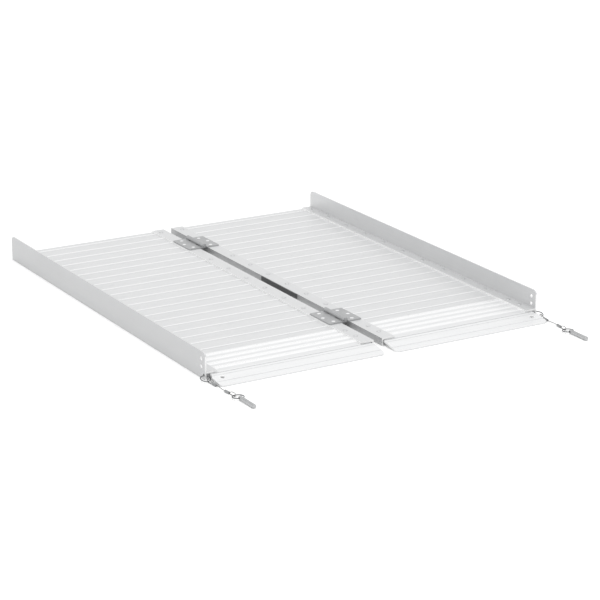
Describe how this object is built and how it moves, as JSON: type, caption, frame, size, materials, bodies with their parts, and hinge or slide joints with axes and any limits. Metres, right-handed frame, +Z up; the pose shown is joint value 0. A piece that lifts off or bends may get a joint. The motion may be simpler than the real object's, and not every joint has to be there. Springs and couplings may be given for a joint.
{
  "type": "folding loading ramp",
  "caption": "Aluminium loading ramp of two ribbed-deck halves with raised outer curbs, folding on centre butt hinges, with pivoting end lips and tethered locking pins.",
  "frame": {"origin": "on the ground, at the centre of the footprint without the lanyards", "axes": "+X across the ramp to the right, +Y along it away from the lips, +Z up"},
  "size_m": [0.7656, 1.0345, 0.052],
  "materials": {
    "rail_aluminium": "satin mill finish",
    "plank_aluminium": "satin, extruded, fine lengthwise lines",
    "end_aluminium": "satin, ridged",
    "lip_aluminium": "satin",
    "rivet_aluminium": "satin",
    "screw_steel": "polished",
    "hinge_steel": "zinc plated",
    "grip_plastic": "matte dark grey",
    "ring_steel": "bright",
    "cable_steel": "stranded wire",
    "ferrule_metal": "dull grey, pressed",
    "pin_steel": "zinc plated"
  },
  "bodies": {
    "left_panel": {"left_curb_rail": "rail_aluminium", "left_inner_rail": "rail_aluminium", "left_plank_01": "plank_aluminium", "left_plank_02": "plank_aluminium", "left_plank_03": "plank_aluminium", "left_plank_04": "plank_aluminium", "left_plank_05": "plank_aluminium", "left_plank_06": "plank_aluminium", "left_plank_07": "plank_aluminium", "left_plank_08": "plank_aluminium", "left_plank_09": "plank_aluminium", "left_plank_10": "plank_aluminium", "left_end_profile": "end_aluminium", "left_curb_rivets": "rivet_aluminium", "left_inner_rivets": "rivet_aluminium", "left_hinge_screws": "screw_steel", "left_grip_sleeve": "grip_plastic", "left_anchor_ring": "ring_steel", "left_cable_eyes": "cable_steel", "left_ferrules": "ferrule_metal", "left_cable": "cable_steel", "left_pin_ring": "ring_steel", "left_locking_pin": "pin_steel", "left_hinge_leaf_far": "hinge_steel", "left_hinge_leaf_near": "hinge_steel", "hinge_pin_far": "hinge_steel", "hinge_pin_near": "hinge_steel"},
    "right_panel": {"right_curb_rail": "rail_aluminium", "right_inner_rail": "rail_aluminium", "right_plank_01": "plank_aluminium", "right_plank_02": "plank_aluminium", "right_plank_03": "plank_aluminium", "right_plank_04": "plank_aluminium", "right_plank_05": "plank_aluminium", "right_plank_06": "plank_aluminium", "right_plank_07": "plank_aluminium", "right_plank_08": "plank_aluminium", "right_plank_09": "plank_aluminium", "right_plank_10": "plank_aluminium", "right_end_profile": "end_aluminium", "right_curb_rivets": "rivet_aluminium", "right_inner_rivets": "rivet_aluminium", "right_hinge_screws": "screw_steel", "right_grip_sleeve": "grip_plastic", "right_anchor_ring": "ring_steel", "right_cable_eyes": "cable_steel", "right_ferrules": "ferrule_metal", "right_cable": "cable_steel", "right_pin_ring": "ring_steel", "right_locking_pin": "pin_steel", "right_hinge_leaf_far": "hinge_steel", "right_hinge_leaf_near": "hinge_steel"},
    "left_lip": {"left_lip": "lip_aluminium"},
    "right_lip": {"right_lip": "lip_aluminium"}
  },
  "joints": [
    {"name": "fold", "type": "hinge", "parent": "left_panel", "child": "right_panel", "pos_m": [0, 0, 0.0195], "axis": [0, -1, 0], "range_deg": [0, 169.5]},
    {"name": "left_lip_tilt", "type": "hinge", "parent": "left_panel", "child": "left_lip", "pos_m": [-0.186, -0.4055, 0.0074], "axis": [-1, 0, 0], "range_deg": [-15, 14]},
    {"name": "right_lip_tilt", "type": "hinge", "parent": "right_panel", "child": "right_lip", "pos_m": [0.186, -0.4055, 0.0074], "axis": [-1, 0, 0], "range_deg": [-15, 14]}
  ]
}
